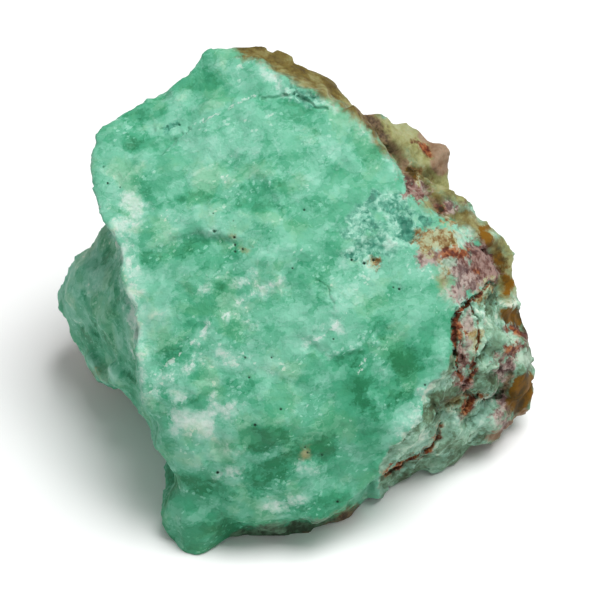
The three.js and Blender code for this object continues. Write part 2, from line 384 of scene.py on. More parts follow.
# the zones of each colour or mark, as strokes
paint = {
    "cream": [  # chalky white, thickest on the left-hand ridge
        (1.3, (-20.6, 11.8), (-19.6, 10.8)), (0.7, (-18.8, 11.4)), (1.1, (-21, 10), (-20.8, 8)),
        (1.0, (-21, 7), (-20.4, 4)), (0.7, (-20.4, 3), (-20, -2), (-19.3, -7)),
        (0.5, (-19.3, -7), (-18.4, -12)), (1.9, (-14, -14.4), (-12, -14.8)),
        (0.9, (-10.4, -13.6), (-8, -13.2)), (0.7, (-17, -10.6), (-14.4, -11.6)),
        (0.5, (-10.6, -12.2), (-9.6, -12.9)), (0.5, (-16.6, -9.6), (-14.6, -9), (-13.2, -8)),
        (0.35, (-13, -7.2), (-12.2, -4.6), (-11.2, -3)), (0.4, (-9.2, -2.6), (-7.8, -0.8), (-5.8, 0.6)),
        (0.4, (-6.1, -2.7), (-5.6, -2.9)), (0.5, (-8.3, 2.1), (-5.2, 2.4)),
        (0.6, (-4, 1.4), (-2.8, 2.1)), (0.4, (-1.9, 1.4)), (0.6, (-11.4, 1.6), (-10.9, 3)),
        (0.6, (-9.8, -6.3), (-8.2, -7.5)), (0.5, (4, -2.8), (4.4, -3.4)),
        (0.3, (1.8, -4.7), (3.2, -3.8)), (0.35, (0.7, -5.6)), (0.3, (3.6, -6.7)),
        (0.35, (-9.6, 14.8), (-8.8, 14.6)), (0.5, (15, -11.2), (13.9, -13.4), (12, -15.9)),
        (0.9, (-4.4, 27.6), (-2.6, 26.2)), (0.6, (-1.4, 25), (0.6, 24.6)), (0.5, (2.4, 24), (4.4, 23)),
        (0.5, (7.4, 20.4), (9, 19.4)), (0.4, (10.8, 16.6), (11.4, 15.4)),
        (0.6, (-8.4, -18), (-7.2, -18.4)), (0.5, (-9.2, -20.8), (-7.4, -20.6)),
        (0.6, (0, -20.2), (1.8, -19.8)), (0.8, (-4, -24.6), (-2, -24.8)),
        (0.6, (-0.8, -23.8), (0.4, -24)), (1.0, (18.6, 7.8), (19.6, 6.8)), (0.8, (19.2, 0.2)),
        (0.5, (21.3, -1.2)), (0.4, (19, -14.2)), (0.7, (25.2, -0.2)), (0.6, (28.6, -10.2)),
        (0.4, (17, 11.9)), (0.5, (18.2, 10.8), (19.8, 10.8), (21.2, 10.4)),
        (0.4, (25, -3.8), (26.2, -4.6)),
    ],
    "pale": [
        (2.6, (11.6, 5.2), (15.6, 4.2)), (1.5, (4.6, -0.2), (7, 0.8), (9.4, 2.4)),
        (0.9, (16.8, -4.6), (17, -6)), (1.0, (14.6, -11.4), (16.4, -9.9)),
        (1.1, (13.8, -13.4), (12, -15.2)), (1.0, (10.2, -17)), (1.6, (-7.4, 19.4), (-6, 19)),
        (1.5, (-1.6, 19.2), (0, 19)), (0.9, (-15.2, 23.4), (-13.4, 24)), (0.7, (-17.4, 20.3)),
        (0.7, (-15.6, 20), (-14.8, 20.3)), (0.6, (-19.4, 19.6)), (0.5, (-19.4, 17), (-18, 17.3)),
        (0.8, (-19, 15.6), (-18, 16.4)), (1.0, (-14.8, 13.2)), (1.1, (-15.8, 10), (-14.8, 9.4)),
        (1.0, (-12, 10.6), (-10, 10.8)), (0.7, (-6, 10.2), (-5.2, 9.7)), (0.9, (-3.6, 10), (-2.6, 9.9)),
        (1.8, (-10, 8.8), (-7.6, 9)), (0.7, (-3.4, 3.8), (-3, 3.2)), (0.9, (9.2, -8), (9.8, -8.9)),
        (0.7, (8, -4.4)), (0.7, (2.6, -9.5), (3.2, -10)), (0.6, (-6.7, -9.7)),
        (1.2, (-5, -7.4), (-1.2, -8.8)), (1.5, (-20.2, 4), (-19.4, 0), (-18.8, -4), (-18, -7.4)),
        (1.2, (-16.8, -2), (-16, 2)), (1.0, (-17.6, -9), (-15, -11)), (1.4, (-22.4, 8), (-23, 13)),
        (1.4, (-14.6, -19), (-13, -19.6)), (1.0, (-4.6, -26.8), (0, -26.2), (4.8, -25)),
        (0.7, (6.8, -23.6)), (1.1, (4, 17.8), (6.6, 16.4)), (0.8, (1.8, 14.4)),
        (1.2, (-9.6, 27.4), (-7.6, 26.6)), (0.5, (-25, 3.4), (-27.2, 0.2), (-27.9, -1.4)),
        (1.2, (-28, 3.3), (-26.8, 5.4), (-24.6, 8)), (0.4, (-23.4, -8), (-22.4, -9.2)),
        (1.6, (22.6, -3.4), (23, -7)), (1.4, (22, -12.6), (22.6, -14.6)),
        (2.4, (15.6, 6.4), (19.2, 7.4)), (1.2, (18, -14), (20, -16)),
        (1.4, (11, -19.6), (14.4, -17.4), (17, -16)), (2.0, (-22, 16.4)), (1.6, (-13, 18), (-10.6, 18)),
        (1.2, (25.8, -0.4), (24.6, -4.6), (25.4, -5.6)),
    ],
    "crust": [  # flaking white skin with teal pits
        (1.6, (6.8, 8), (7.8, 9.8)), (1.7, (9.6, 11.6), (11.4, 11.8)), (1.8, (11.6, 9.4), (13.2, 8.4)),
        (1.6, (8, 6.6), (10.4, 7)), (1.0, (6.4, 5.4), (8.6, 5)), (0.7, (-1, 25.4), (2, 24.2)),
    ],
    "deep": [
        (0.7, (-13, 25.8)), (1.4, (-11.6, 26.8), (-10, 26.4)), (1.3, (-20, 22.4), (-16.8, 22.9)),
        (0.9, (-20.2, 18.8), (-18, 18.8), (-16, 19.3)), (0.7, (-19.8, 14.2), (-18.6, 14.7)),
        (0.7, (-18.6, 12.7), (-17.2, 11.7)), (0.7, (-14.2, 12.1), (-12, 12.3), (-9.8, 11.7)),
        (1.5, (-6.4, 12.2), (-2.6, 12.4)), (0.9, (-5.8, 11.4), (-4.4, 11)),
        (0.8, (-2.4, 13.8), (-2, 11.2)), (1.1, (-15.2, 6), (-13, 6.6), (-11.4, 6.6)),
        (0.9, (-18.6, 5), (-16.4, 5.6)), (1.9, (-11, 5.2), (-8.6, 5.8)), (0.6, (-11.7, 4.8)),
        (1.2, (4.2, 7.4), (3.8, 3.4)), (0.7, (2.6, 2.8)), (0.5, (2.6, 0.6), (3.4, -0.4)),
        (0.6, (-11.2, 2.2), (-9.4, 1.7)), (1.0, (-16.6, -6.8), (-14.6, -5.6)),
        (0.7, (-13.6, -4.4), (-13, -3)), (0.7, (-12.8, -9.2), (-9, -8.9)),
        (1.0, (-8.4, -9.4), (-6, -10.4)), (0.6, (-15, -12.5), (-12.6, -12)),
        (1.1, (12, -8), (13.8, -7.2)), (1.0, (7.3, -10.6), (7.4, -12)), (1.0, (9.7, -4)),
        (0.8, (8.8, -13.2), (10.6, -13.6)), (0.8, (12, -12.2), (13, -11.4)),
        (1.2, (4.6, -6.4), (6.4, -7)), (1.5, (-6, -16.8), (-2.8, -16.6)), (1.0, (0, -17.8), (4, -17.4)),
        (1.0, (-8.6, -19.7)), (1.4, (-5.8, -21.6), (-3, -20.4)), (0.7, (-15, -21.6), (-12.6, -21.6)),
        (0.7, (-12, -22.6), (-8, -23)), (0.7, (-5.4, -23.4), (-3.7, -22.8)),
        (1.2, (-9, -27.4), (-8, -28)), (1.2, (-3.6, 7.2)), (1.1, (2.2, 11.8)),
        (1.1, (-4, 24), (0.4, 22.4), (4, 20.4)), (0.8, (8, 16.6), (9.4, 17.6)),
        (1.2, (-22.2, 1.4), (-21.8, 4.4)), (1.0, (-25.6, -3.8), (-25, -5.4)),
        (1.4, (-24.6, -0.3), (-22.6, -3)), (1.0, (-20.6, -9.6), (-20, -10.6)),
        (0.7, (-23.6, 8.4), (-22.9, 5)), (1.2, (-6.4, -28.6), (-2, -28.9)),
    ],
    "shade": [  # painted shade where the toe, the lower face and the underside turn from the light, partly deeper green
        (5.2, (-14.4, -28), (-9.6, -29)), (3.0, (-5, -26), (4, -26.4)), (2.4, (-15, -22.6), (-10, -24)),
        (2.4, (-6, -30), (2, -29.4), (7, -26.4)), (2.4, (-6, -21), (2, -18.6)),
        (2.4, (8.6, -10.2), (12.8, -7.4)), (1.2, (9, -16), (10, -19)), (1.2, (-22.4, -5.4), (-21, -8)),
    ],
    "olive": [
        (1.5, (-6, 30.4), (-3.6, 29.8), (0, 27.6), (4.6, 25)), (1.1, (5.6, 24), (9, 21), (11, 18.6)),
        (0.9, (11, 18.8), (12.4, 16.6), (13.4, 15.2)),
        (0.8, (14.6, 15), (15.8, 13), (17.2, 11), (19, 10)),
        (1.0, (19.7, 9.9), (21.8, 8.4), (23.2, 6.4), (23.9, 4.4), (24.8, 1)),
        (0.5, (17.7, -12.4), (19, -12.1)), (5.0, (-4, 29, -6), (6, 24, -10), (14, 17, -14)),
        (0.9, (3, -27.4), (6.4, -25.8)), (0.7, (-25.2, -9.2)), (0.14, (-7.9, 7.5)),
        (0.14, (-6.9, 6.1), (-6.2, 6)),
    ],
    "yellow": [
        (1.5, (10.8, 20.4), (13.4, 19.4), (14.8, 17.4), (16.2, 15.4)), (1.2, (17.2, 14), (19.2, 12.8)),
        (0.6, (17.2, 3.2), (17.4, 2)), (0.3, (13.9, 12.7), (15.6, 11.4), (17.4, 10.7), (19.2, 9.4)),
        (0.55, (22.6, 10.4), (24.3, 7.9), (25.3, 4.7), (26.1, 1.6)), (0.12, (0.7, -17.6), (0.8, -18.6)),
    ],
    "undersideShade": [  # painted shade: the dull underside below the toe and the lip
        (1.3, (-7.2, -28.9), (-3.4, -28.2), (0.6, -27.8)), (0.9, (0.6, -27.8), (4, -26.8)),
        (3.0, (-9, -25, -16), (2, -24, -16)),
    ],
    "umber": [  # the dark line where the plate stops and the brown under the keel; along the left edge of the amber it is painted shade
        (0.55, (7.2, 23), (9.4, 20.6), (11.2, 18.2), (12.6, 16.2)),
        (0.4, (12.6, 16), (13.8, 14.4), (15.4, 12.6)), (0.35, (15.4, 12.6), (16.8, 11), (17.8, 10)),
        (0.4, (25.2, -8.8), (24.4, -11.4), (24.9, -13.6)), (0.6, (1.4, -28.4), (4.6, -27), (7, -25.2)),
        (0.3, (12.5, 16.7)),
    ],
    "bone": [
        (1.5, (15.6, 7.2), (18.4, 6.8)), (1.6, (17.6, 4.6), (20.4, 3.4)), (1.0, (21.8, 5), (21.6, 2.6)),
        (0.8, (18.6, 1.4), (18, 0.4)), (0.9, (20.2, -2.6), (20.3, -5.4)), (0.9, (25.8, -7), (27.2, -7)),
    ],
    "ochre": [  # brown and gold stains, ragged on a pale ground
        (1.5, (15.4, 7.4), (17.4, 7.2)), (0.5, (17.8, 9.4), (17.4, 8.2)),
        (0.4, (16.9, 4.1), (17.3, 3.6)), (0.5, (13.4, 15.6), (14.6, 14.6)),
        (0.25, (8.7, 4.9), (8.9, 4.5)), (0.4, (22.6, 1.6), (21.2, 0)), (0.35, (20.8, -5.6), (21.1, -4)),
    ],
    "tan": [
        (1.7, (15.8, 20.4), (17.6, 18)), (1.3, (17, 16.4)), (0.7, (12.6, 16.2), (13.4, 15)),
        (0.5, (27, -13.2), (25.4, -15), (23, -16.6)),
    ],
    "plum": [
        (0.9, (12.9, 13.9), (14, 13)), (1.7, (21.4, 5.5), (22.4, 3.6)), (0.8, (16.8, 5.4)),
        (0.9, (19.4, -9), (19.8, -10)), (0.6, (27.2, -3.2), (26.8, -5), (25.4, -6.2), (23.6, -7.2)),
        (0.5, (19.2, -5.4), (19.6, -8)),
    ],
    "blush": [  # pinkish white, speckled
        (1.5, (19.4, 3.6), (20.8, 2.4)), (1.0, (19, 1)), (1.0, (15, 5.2), (16, 4.8)),
        (0.7, (14.5, 13.8), (15, 13.2)), (0.6, (20.3, -2), (20.4, -5), (19.8, -7.5)),
        (0.8, (24.2, -8.6), (25, -7.8)), (0.5, (24.2, -11.6), (24.2, -13.8)),
        (0.6, (23.6, -13.8), (24.2, -14.8)), (0.9, (17.9, 11.2)),
        (0.2, (24.9, -3.4), (25.9, -3.2), (26.6, -4.3)),
    ],
    "rust": [
        (0.25, (13.7, 19), (15.1, 18), (15.7, 17.2)), (0.5, (17, 11.1)),
        (0.6, (17.2, 5.6), (19.7, 5.7)), (0.4, (21.3, 3.4)), (0.5, (18.8, -3.4), (19.2, -4.6)),
        (0.4, (25.2, -3.4), (26.6, -4.2)), (0.35, (20, -11.3), (22, -11.7)),
        (0.45, (20.8, -11.8), (19.5, -13.6)), (0.3, (20.8, -7.2), (20.4, -9.4)), (0.25, *lowSeam),
        (0.3, (25.8, -5.4), (24.8, -6.2)),
    ],
    "amber": [
        (0.9, (24.9, -1.8), (26.6, -2.4)), (1.0, (26.5, -9.8), (25.9, -11.4), (26, -12.8)),
        (0.9, (27.3, -9.4), (27.5, -11), (26.9, -12.2)), (0.6, (21.9, 8.4), (22.8, 7)),
        (0.55, (23.6, 5.4), (24.2, 4)), (0.55, (24.8, 2.4), (25.1, 1)), (0.3, (16.9, 11)),
        (0.4, (26.6, -2.4), (27.2, -3.6)), (0.4, (13, 15.7), (13.8, 15)),
    ],
    "seam": [(stain, *line) for radius, tall, stain, *line in seams]
            + [(0.35, (18.9, -8.6), (19.3, -9.4))],
    "teal": [  # dark wet-looking hollows in the crust
        (0.5, (10.4, 10.9), (12.2, 11)), (0.6, (12, 9.6), (13, 9.4)), (0.5, (12.6, 8.8), (12.8, 8)),
        (0.25, (8, 9.6), (9, 9.8)), (0.25, (8.8, 9.4), (8.7, 8.4)), (0.3, (10.6, 8.4)),
        (0.25, (10.6, 13), (10.8, 12.8)), (0.2, (8.6, 12.2), (9.4, 12.6)), (0.35, (14.6, 9.3), (16, 9)),
        (0.05, (-16.7, 20.5), (-14.3, 21.2)), (0.2, (5.8, 5.2), (6.4, 4.8)),
    ],
    "scratch": [  # thin broken white lines
        (0.16, (-9.6, -1.4), (-11.4, -3.4), (-13.2, -5.4), (-15, -7), (-17.4, -8.8)),
        (0.13, (-11.6, 21.5), (-8.6, 23), (-5.6, 24.6)),
        (0.12, (-5.4, 0.9), (-7.6, -0.4), (-9.4, -2.4)), (0.12, (5.6, -1.6), (3.8, -3.6), (1.6, -4.9)),
        (0.1, (-17.4, -9.8), (-14.8, -9.4), (-12.6, -7.6)), (0.1, (-2.2, 2.6), (-4.6, 1.6), (-6.2, 2)),
        (0.1, (9.8, -4.4), (8, -6.6), (7, -9)),
    ],
    "pitShade": pits,
}

# colours that carry on round the rim, and marks whose lines are kept exactly where they are drawn
wrapped = ("bone", "undersideShade", "umber", "olive", "yellow", "tan", "plum", "blush", "amber")
unstrayed = ("pitShade", "scratch")

# colours that come and go over the sides turned away
hiddenPaint = {
    "patches": {  # size, level, steepness, seed
        "pale": ((8, 0.1, 6, 72), (4, 0.25, 3, 76)),
        "deep": ((9, 0.12, 7, 73),),
        "cream": ((6, 0.36, 3, 74),),
        "olive": ((13, 0.1, 4, 71),),
    },
    "veins": {"umber": (14, 0.15, 79), "rust": (22, -0.05, 78)},  # size, width, seed
    "octaves": 4,
    "veinSwing": 0.6,
    "away": 8,
}


def linkPiece(name, data):
    piece = bpy.data.objects.new(name, data)
    bpy.context.scene.collection.objects.link(piece)
    return piece


def plateDistance(points):  # below zero on the green plate, above it past its edge
    edge = np.array(plateEdge, float)
    outline = np.concatenate([edge, plateBack])
    x, y = points[:, 0], points[:, 1]
    inside = np.zeros(len(points), bool)
    for (ax, ay), (bx, by) in zip(outline, np.roll(outline, -1, axis=0)):
        if ay != by:
            inside ^= ((ay > y) != (by > y)) & (x < ax + (y - ay) * (bx - ax) / (by - ay))
    return lineDistance(points, edge) * np.where(inside, -1, 1)


def copyFrame():
    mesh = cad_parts["rough_stone"].data.copy()
    with edited(mesh) as bm:
        bmesh.ops.remove_doubles(bm, verts=bm.verts, dist=1e-6)
    stone = linkPiece("chrysoprase_chunk", mesh)
    remesh(stone, stoneShape["roughVoxel"])
    relax(stone, stoneShape["roundEdges"])
    return stone


def hiddenPart(n):  # 1 where the surface faces away from the broad face, 0 where it shows with it
    return 1 - smooth(n[:, 2], *turned["hidden"])


def drawnOn(p, n):
    strayed = p + (wobble(p, *stoneShape["hiddenStray"]) - p) * hiddenPart(n)[:, None]
    return squareOn(wobble(strayed, *stoneShape["paintStray"]))


def rindDepth(p, n):
    behind = np.clip(-hiddenRind["behind"] - p[:, 2], 0, hiddenRind["deepest"])
    swing = cloud(p, *hiddenRind["cloud"]) * hiddenRind["swing"]
    reach = behind * hiddenRind["slope"] + swing - hiddenRind["back"]
    return plateDistance(squareOn(wobble(p, *stoneShape["rindStray"]))) + hiddenPart(n) * reach


def calmed(depth, amount, low, high):
    return 1 - amount * smooth(depth, low, high)


def roughRind(drawn, n, past):
    skin = zoneDepth(drawn, n[:, 2], paint["olive"] + paint["yellow"] + paint["amber"], True)
    calm = zoneDepth(drawn, n[:, 2], stoneShape["calmStrokes"], True)
    started = smooth(past, *stoneShape["rindStarts"])
    return started * calmed(skin, *stoneShape["skinCalm"]) * calmed(calm, *stoneShape["calmRind"])


def breakSurface(stone):
    p = wobble(toLayout(readPoints(stone.data)), *stoneShape["warp"])
    for radius, shift, place in nudges:
        near = smooth(1 - lineDistance(p, [place]) / radius, 0, 1)
        p[:, :2] += near[:, None] * np.array(shift)
    writePoints(stone.data, fromLayout(p))
    n = placed(stone.data)[1]
    drawn = squareOn(wobble(p, *stoneShape["rindStray"]))
    past = rindDepth(p, n)
    onFace = smooth(n[:, 2], *turned["face"]) * smooth(-past, *stoneShape["plateEnds"])
    facing = smooth(n[:, 2], *turned["carved"])
    height = np.zeros(len(p))
    for size, tall, seed in stoneShape["facets"]:
        height += brokenFacets(p, size, seed) * tall
    height *= 1 - stoneShape["faceCalm"] * onFace
    rough = roughRind(drawn, n, past)
    for size, tall, seed in stoneShape["rindFacets"]:
        height += brokenFacets(p, size, seed) * tall * rough
    behind = smooth(past, *stoneShape["dropStarts"]) * np.exp(-past.clip(0) / stoneShape["plateFade"])
    height -= stoneShape["plateDrop"] * behind * facing
    for radius, tall, *line in carvings:
        near = 1 - np.clip(lineDistance(drawn, line) / radius, 0, 1)
        height += tall * smooth(near, 0, 1) * (facing if len(line[0]) == 2 else 1)
    for tall, fade, *line in steps:
        height += tall * stepAlong(drawn, line, fade) * smooth(n[:, 2], *turned["stepped"])
    co = fromLayout(p + n * height[:, None])
    co[:, 2] = np.maximum(co[:, 2], 0)
    writePoints(stone.data, co)
    remesh(stone, stoneShape["voxel"])
    relax(stone, 1)


def refine(stone):  # the first time also over the whole rind
    narrow = [(radius, *line) for radius, tall, *line in cracks] + pits
    for time, reach in enumerate(stoneShape["refineReach"]):
        p, n = placed(stone.data)
        p = squareOn(p)
        fine = np.zeros(len(p), bool)
        for radius, *line in narrow:
            fine |= lineDistance(p, line) < radius + reach
        if time == 0:
            past = plateDistance(p)
            low, high = stoneShape["refinedRind"]
            fine |= (past > low) & (past < high)
        fine &= n[:, 2] > 0
        with edited(stone.data) as bm:
            edges = [e for e in bm.edges if fine[e.verts[0].index] and fine[e.verts[1].index]]
            bmesh.ops.subdivide_edges(bm, edges=edges, cuts=1, use_grid_fill=True)
            bmesh.ops.triangulate(bm, faces=[f for f in bm.faces if len(f.verts) > 4])


def evenOut(stone):  # the glassy patches have smooth flat faces, and the foot has no spikes
    p, n = placed(stone.data)
    smoothest = zoneDepth(drawnOn(p, n), n[:, 2], paint["amber"], True) > stoneShape["glassEdge"]
    smoothest |= readPoints(stone.data)[:, 2] < stoneShape["foot"] / 1000
    with edited(stone.data) as bm:
        inside = [v for v, picked in zip(bm.verts, smoothest) if picked]
        for _ in range(stoneShape["evenRounds"]):
            bmesh.ops.smooth_vert(bm, verts=inside, factor=0.5,
                                  use_axis_x=True, use_axis_y=True, use_axis_z=True)


def roughenSurface(stone):
    p, n = placed(stone.data)
    drawn = drawnOn(p, n)
    rind = roughRind(drawn, n, rindDepth(p, n))
    crust = smooth(zoneDepth(drawn, n[:, 2], paint["crust"]), *stoneShape["crustEdge"])
    facing = smooth(n[:, 2], *turned["carved"])
    grain, crumb = stoneShape["grain"], stoneShape["crumbs"]
    height = cloud(p, grain["size"], grain["octaves"], grain["seed"]) * grain["height"]
    calm = 1 - stoneShape["chipCalm"] * smooth(n[:, 2], *turned["face"]) * (1 - rind)
    for size, tall, seed in stoneShape["chips"]:
        height += brokenFacets(p, size, seed) * tall * calm
    glassy = zoneDepth(drawn, n[:, 2], paint["amber"] + paint["olive"], True)
    height *= calmed(glassy, *stoneShape["glassCalm"])
    for size, tall, seed in stoneShape["rindChips"]:
        height += brokenFacets(p, size, seed) * tall * rind
    height += (crumbs(p, crumb["size"], crumb["seed"]) - crumb["level"]) * crumb["height"] * crust
    height *= smooth(readPoints(stone.data)[:, 2] * 1000, 0, stoneShape["foot"])
    for radius, tall, *line in cracks:
        near = 1 - np.clip(lineDistance(drawn, line) / radius, 0, 1)
        height += tall * smooth(near, 0, stoneShape["crackEdge"]) * facing
    for radius, *line in pits:
        inside = radius * stoneShape["pitReach"] - lineDistance(squareOn(p), line)
        height -= radius * stoneShape["pitDepth"] * smooth(inside, 0, radius) * facing
    writePoints(stone.data, fromLayout(p + n * height[:, None]))


def standFlat(stone):
    co = readPoints(stone.data)
    height, pressed = stoneShape["press"]
    under = smooth(height / 1000 - co[:, 2], 0, height / 1000)
    co[:, 2] = np.maximum(co[:, 2] * (1 - pressed * under), 0)
    writePoints(stone.data, co)


def countTriangles(stone):
    return sum(len(f.vertices) - 2 for f in stone.data.polygons)


def lighten(stone):
    modifier = stone.modifiers.new("lighten", "DECIMATE")
    modifier.ratio = min(1, stoneShape["triangles"] / countTriangles(stone))
    bakeModifiers(stone)


def largestPart(bm):
    largest = []
    left = set(bm.verts)
    while left:
        island = [left.pop()]
        for vert in island:
            for edge in vert.link_edges:
                other = edge.other_vert(vert)
                if other in left:
                    left.remove(other)
                    island.append(other)
        largest = max(largest, island, key=len)
    return set(largest)


def makeWhole(stone):
    with edited(stone.data) as bm:
        knotted = {v for e in bm.edges if len(e.link_faces) > 2 for v in e.verts}
        bmesh.ops.delete(bm, geom=list(knotted), context="VERTS")
        kept = largestPart(bm)
        bmesh.ops.delete(bm, geom=[v for v in bm.verts if v not in kept], context="VERTS")
        bmesh.ops.holes_fill(bm, edges=[e for e in bm.edges if e.is_boundary], sides=0)
        bmesh.ops.triangulate(bm, faces=bm.faces[:])
        bmesh.ops.recalc_face_normals(bm, faces=bm.faces[:])


def paintStone(stone):
    even = linkPiece("even", stone.data.copy())
    relax(even, stoneShape["riseRounds"])
    evenPoints, n = placed(even.data)
    bpy.data.objects.remove(even)
    p = toLayout(readPoints(stone.data))
    rise = ((p - evenPoints) * n).sum(axis=1)
    drawn = drawnOn(p, n)
    away = hiddenPaint["away"] * (1 - hiddenPart(n))
    values = {"rind": rindDepth(p, n), "rise": rise}
    for name, strokes in paint.items():
        place = squareOn(p) if name in unstrayed else drawn
        values[name] = zoneDepth(place, n[:, 2], strokes, name in wrapped)
        for size, level, steep, seed in hiddenPaint["patches"].get(name, ()):
            patch = (cloud(p, size, hiddenPaint["octaves"], seed) - level) * steep
            values[name] = np.maximum(values[name], patch - away)
        if name in hiddenPaint["veins"]:
            size, width, seed = hiddenPaint["veins"][name]
            swing = np.abs(cloud(p, size, hiddenPaint["octaves"], seed)) * size
            vein = width - swing * hiddenPaint["veinSwing"]
            values[name] = np.maximum(values[name], vein - away)
    for name, value in values.items():
        attribute = stone.data.attributes.new(name, "FLOAT", "POINT")
        attribute.data.foreach_set("value", value.astype(np.float32))


stone = copyFrame()
breakSurface(stone)
print("broken", len(stone.data.vertices))
refine(stone)
evenOut(stone)
roughenSurface(stone)
relax(stone, *stoneShape["calmGrain"])
lighten(stone)
makeWhole(stone)
standFlat(stone)
print("roughened", len(stone.data.vertices), countTriangles(stone))
paintStone(stone)
print("painted")


# material

def addNode(tree, kind, sockets=None, **settings):
    made = tree.nodes.new("ShaderNode" + kind)
    for name, value in settings.items():
        setattr(made, name, value)
    for name, value in (sockets or {}).items():
        if isinstance(value, bpy.types.NodeSocket):
            tree.links.new(value, made.inputs[name])
        else:
            made.inputs[name].default_value = value
    return made


def noiseOf(tree, coords, size, detail, rough, warp=0.0):
    made = addNode(tree, "TexNoise", {"Vector": coords, "Scale": 1000 / size, "Detail": detail,
                                      "Roughness": rough, "Distortion": warp})
    return made.outputs["Fac"]


def spread(tree, value, low, high):
    made = addNode(tree, "MapRange", {"Value": value, "From Min": low, "From Max": high},
                   interpolation_type="SMOOTHSTEP")
    return made.outputs["Result"]


def maths(tree, operation, a, b):
    return addNode(tree, "Math", {0: a, 1: b}, operation=operation).outputs[0]


def weigh(tree, start, *terms):
    total = start
    for value, weight in terms:
        total = addNode(tree, "Math", {0: value, 1: weight, 2: total}, operation="MULTIPLY_ADD").outputs[0]
    return total


def layer(tree, under, over, mask):
    made = addNode(tree, "Mix", data_type="RGBA")
    for socket, value in ((made.inputs["Factor"], mask), (made.inputs[6], under), (made.inputs[7], over)):
        if isinstance(value, bpy.types.NodeSocket):
            tree.links.new(value, socket)
        else:
            socket.default_value = (*value, 1)
    return made.outputs[2]


def tint(tree, under, colour, mask):
    made = addNode(tree, "Mix", data_type="RGBA", blend_type="MULTIPLY")
    tree.links.new(mask, made.inputs["Factor"])
    tree.links.new(under, made.inputs[6])
    made.inputs[7].default_value = (*colour, 1)
    return made.outputs[2]


def ramp(tree, value, stops):
    made = addNode(tree, "ValToRGB", {"Fac": value})
    elements = made.color_ramp.elements
    while len(elements) < len(stops):
        elements.new(0.5)
    for element, (position, colour) in zip(elements, stops):
        element.position = position
        element.color = (*colour, 1)
    return made.outputs["Color"]


def readZone(tree, name):
    return addNode(tree, "Attribute", attribute_name=name).outputs["Fac"]


def zone(tree, name, ragged, amount, soft):
    shaken = weigh(tree, readZone(tree, name), (maths(tree, "SUBTRACT", ragged, 0.5), amount))
    return spread(tree, shaken, -soft, soft)


def shake(tree, coords, size, amount):
    swirl = addNode(tree, "TexNoise", {"Vector": coords, "Scale": 1000 / size, "Detail": 3.0}).outputs["Color"]
    centred = addNode(tree, "VectorMath", {0: swirl, 1: (0.5, 0.5, 0.5)}, operation="SUBTRACT").outputs[0]
    scaled = addNode(tree, "VectorMath", {0: centred, "Scale": amount / 1000}, operation="SCALE").outputs[0]
    return addNode(tree, "VectorMath", {0: coords, 1: scaled}, operation="ADD").outputs[0]


def cellColours(tree, coords, size):
    cells = addNode(tree, "TexVoronoi", {"Vector": coords, "Scale": 1000 / size}).outputs["Color"]
    return addNode(tree, "SeparateColor", {"Color": cells})


def cellPlaces(tree, coords, size):
    return addNode(tree, "TexVoronoi", {"Vector": coords, "Scale": 1000 / size}).outputs["Position"]


def crisp(tree, coords, size, level, width=0.012):
    return spread(tree, noiseOf(tree, coords, size, 6.0, 0.55, 0.2), level - width, level + width)


def chipped(tree, coords, cell, size, level, width=0.012):
    chips = noiseOf(tree, cellPlaces(tree, coords, cell), size, 3.0, 0.5)
    return spread(tree, chips, level - width, level + width)


def sparkle(tree, coords, cell, share, width=0.04):
    return spread(tree, cellColours(tree, coords, cell).outputs[1], 1 - share, 1 + width - share)


